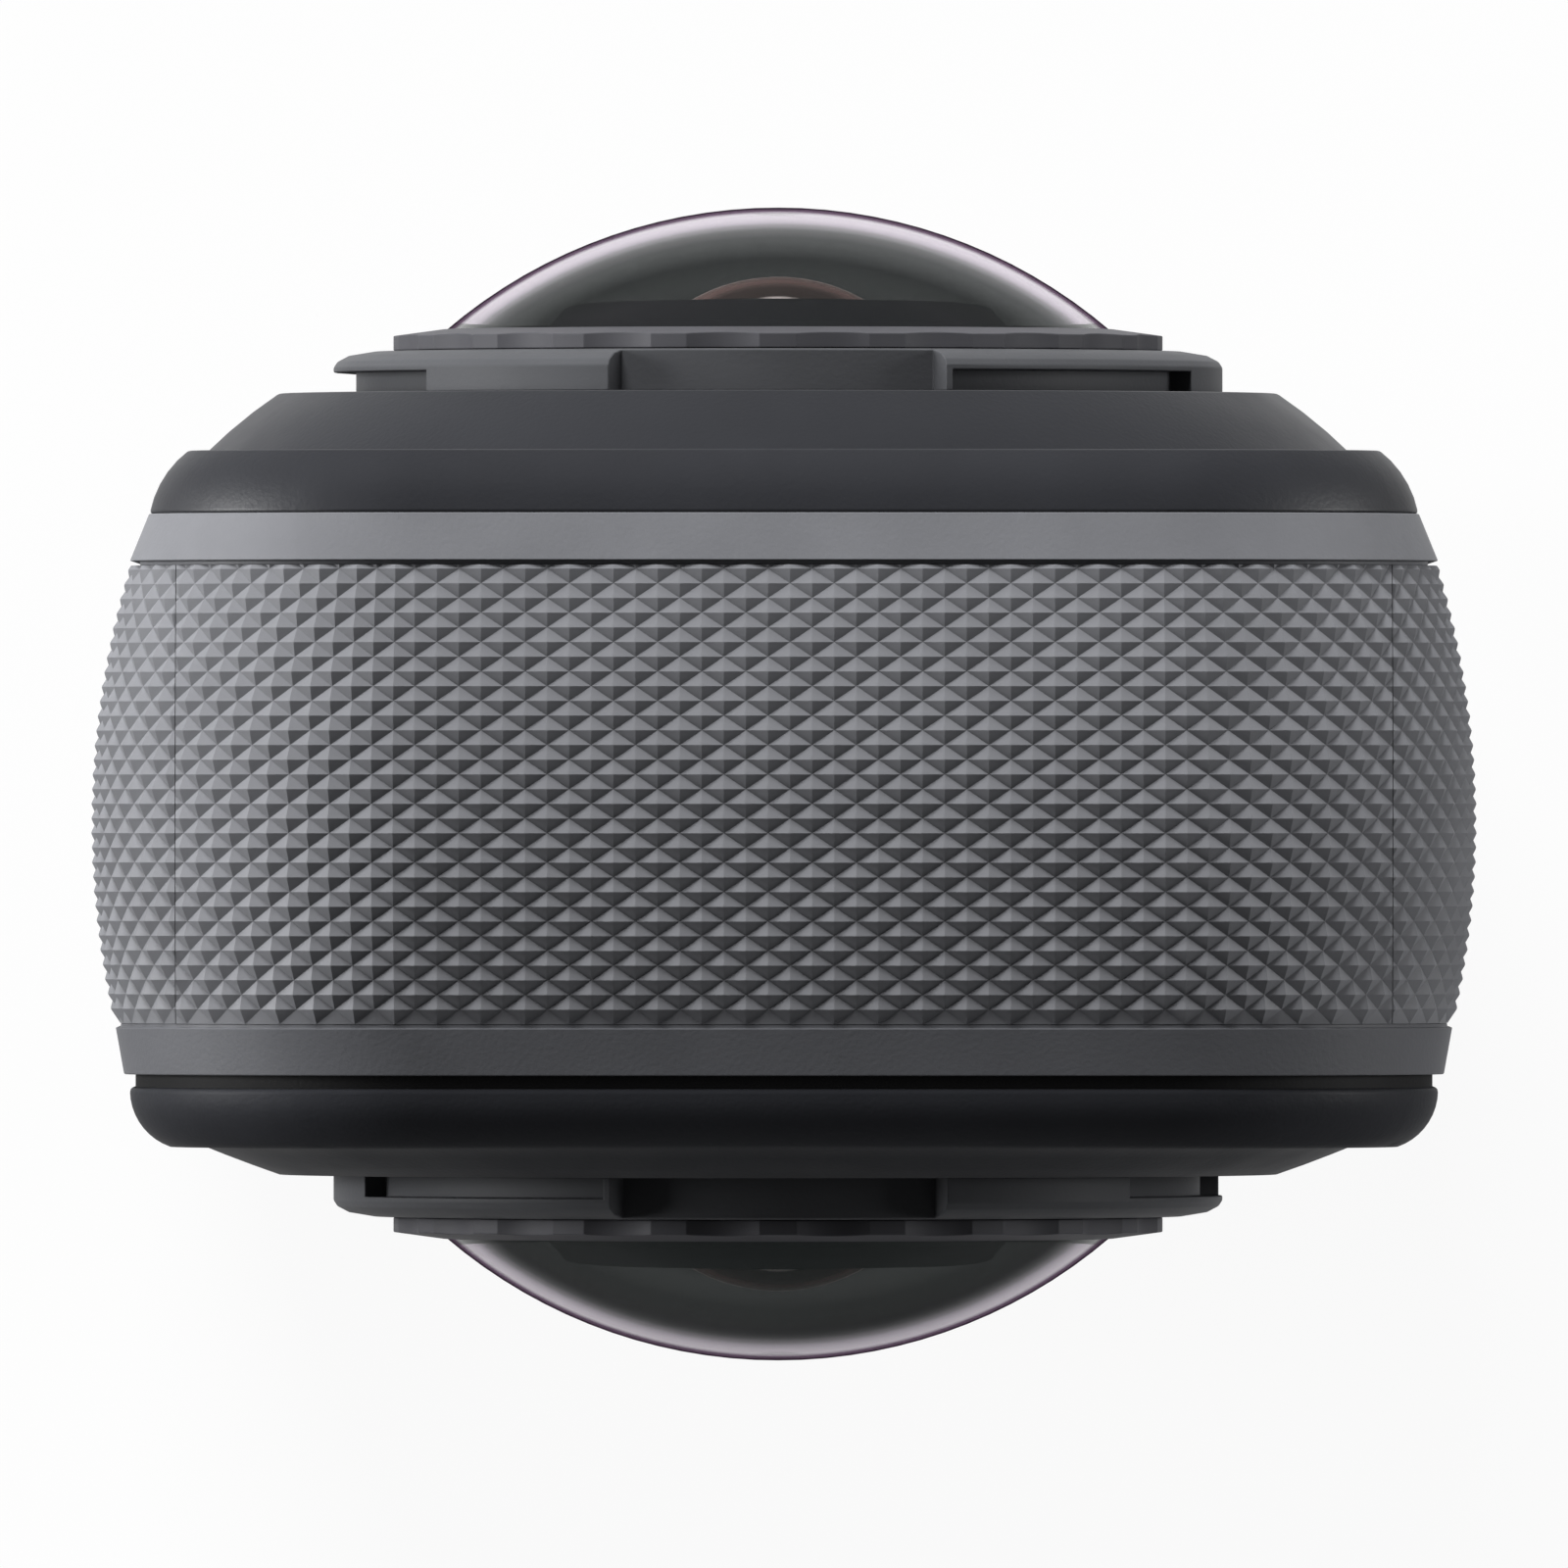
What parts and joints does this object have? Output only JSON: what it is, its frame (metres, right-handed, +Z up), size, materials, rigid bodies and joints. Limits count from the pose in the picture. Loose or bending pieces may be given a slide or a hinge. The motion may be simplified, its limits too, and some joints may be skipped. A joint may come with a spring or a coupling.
{
  "type": "360 degree camera",
  "caption": "Stick-shaped 360 degree camera with a domed lens on each face, a screen, a knurled grip, a slide-out battery and a tripod thread in its foot.",
  "frame": {"origin": "middle of the body's box at the flat foot", "axes": "+Z up along the body, +Y out of the plain front, -Y out of the screen side, +X out of the side with the buttons, -X out of the side with the battery door"},
  "size_m": [0.046, 0.0386, 0.1245],
  "materials": {
    "frame_metal": "die-cast, bead blasted",
    "grip_rubber": "soft-touch grey with a fine four-sided knurl",
    "cover_black": "satin black, finely textured",
    "rear_black": "satin black",
    "front_band_grey": "smooth satin mid grey",
    "rear_band_grey": "smooth satin dark grey",
    "seal_rubber": "matt black",
    "base_grey": "fine matt grey",
    "thread_steel": "turned",
    "screw_steel": "blackened",
    "seat_black": "black anodised, satin",
    "ring_black": "black anodised, satin",
    "dome_glass": "clear with an anti-reflection coating",
    "inner_glass": "clear with a warm coating",
    "barrel_black": "matt, light-absorbing",
    "board_green": "solder mask",
    "sensor_dark": "polished",
    "copper": "bright copper",
    "bright_steel": "pressed",
    "contact_gold": "gold plated",
    "screen_glass": "polished black cover glass",
    "display": "dark panel",
    "switch_black": "moulded",
    "speaker_black": "moulded",
    "light_pipe": "translucent",
    "antenna_film": "flexible film",
    "cell_wrap": "moulded battery case",
    "card_black": "moulded",
    "button_grey": "satin"
  },
  "bodies": {
    "camera_body": {"antenna": "antenna_film", "barrel_screws": "screw_steel", "base_plate": "base_grey", "base_screws": "screw_steel", "battery_contacts": "contact_gold", "board_screws": "screw_steel", "button_seals": "seal_rubber", "card_slot": "bright_steel", "display_module": "display", "front_bayonet_seat": "seat_black", "front_cover": "cover_black", "front_gasket": "seal_rubber", "front_image_sensor": "sensor_dark", "front_inner_elements": "inner_glass", "front_lens_baffle": "barrel_black", "front_lens_barrel": "barrel_black", "front_lens_seal": "seal_rubber", "front_trim_band": "front_band_grey", "grip_left": "grip_rubber", "grip_right": "grip_rubber", "grip_top": "grip_rubber", "heat_spreader": "copper", "main_board": "board_green", "microphones": "switch_black", "mid_frame": "frame_metal", "rear_bayonet_seat": "seat_black", "rear_cover": "rear_black", "rear_gasket": "seal_rubber", "rear_image_sensor": "sensor_dark", "rear_inner_elements": "inner_glass", "rear_lens_baffle": "barrel_black", "rear_lens_barrel": "barrel_black", "rear_lens_seal": "seal_rubber", "rear_trim_band": "rear_band_grey", "screen_glass": "screen_glass", "shield_can": "bright_steel", "side_board": "board_green", "speaker": "speaker_black", "status_light": "light_pipe", "tact_switches": "switch_black", "tripod_insert": "thread_steel", "usb_board": "board_green", "usb_door_pin": "bright_steel", "usb_port": "bright_steel"},
    "battery": {"battery_cell": "cell_wrap", "battery_door": "grip_rubber", "battery_seal": "seal_rubber"},
    "battery_latch": {"battery_latch": "button_grey"},
    "usb_door": {"usb_door": "grip_rubber", "usb_door_seal": "seal_rubber"},
    "memory_card": {"memory_card": "card_black"},
    "front_lens": {"front_lens_ring": "ring_black", "front_lens_dome": "dome_glass"},
    "rear_lens": {"rear_lens_ring": "ring_black", "rear_lens_dome": "dome_glass"},
    "power_button": {"power_button": "button_grey"},
    "quick_button": {"quick_button": "button_grey"},
    "shutter_button": {"shutter_button": "button_grey"},
    "lens_switch_button": {"lens_switch_button": "button_grey"}
  },
  "joints": [
    {"name": "battery_slide", "type": "slide", "parent": "camera_body", "child": "battery", "axis": [-1, 0, 0], "range_m": [0, 0.034]},
    {"name": "battery_latch_slide", "type": "slide", "parent": "battery", "child": "battery_latch", "axis": [0, 0, -1], "range_m": [0, 0.002], "stiffness_N_per_m": 300},
    {"name": "usb_door_hinge", "type": "hinge", "parent": "camera_body", "child": "usb_door", "pos_m": [-0.02206, -0.0054, 0.083], "axis": [0, 0, 1], "range_deg": [0, 95]},
    {"name": "memory_card_push", "type": "slide", "parent": "camera_body", "child": "memory_card", "axis": [1, 0, 0], "range_m": [0, 0.0008], "stiffness_N_per_m": 500},
    {"name": "front_lens_twist", "type": "hinge", "parent": "camera_body", "child": "front_lens", "pos_m": [-0.0002, 0, 0.1015], "axis": [0, 1, 0], "range_deg": [0, 25]},
    {"name": "rear_lens_twist", "type": "hinge", "parent": "camera_body", "child": "rear_lens", "pos_m": [-0.0002, 0, 0.1015], "axis": [0, -1, 0], "range_deg": [0, 25]},
    {"name": "power_button_press", "type": "slide", "parent": "camera_body", "child": "power_button", "axis": [-1, 0, 0], "range_m": [0, 0.00045], "stiffness_N_per_m": 1200},
    {"name": "quick_button_press", "type": "slide", "parent": "camera_body", "child": "quick_button", "axis": [-1, 0, 0], "range_m": [0, 0.00045], "stiffness_N_per_m": 1200},
    {"name": "shutter_button_press", "type": "slide", "parent": "camera_body", "child": "shutter_button", "axis": [0, 1, 0], "range_m": [0, 0.00035], "stiffness_N_per_m": 1200},
    {"name": "lens_switch_button_press", "type": "slide", "parent": "camera_body", "child": "lens_switch_button", "axis": [0, 1, 0], "range_m": [0, 0.00035], "stiffness_N_per_m": 1200}
  ]
}
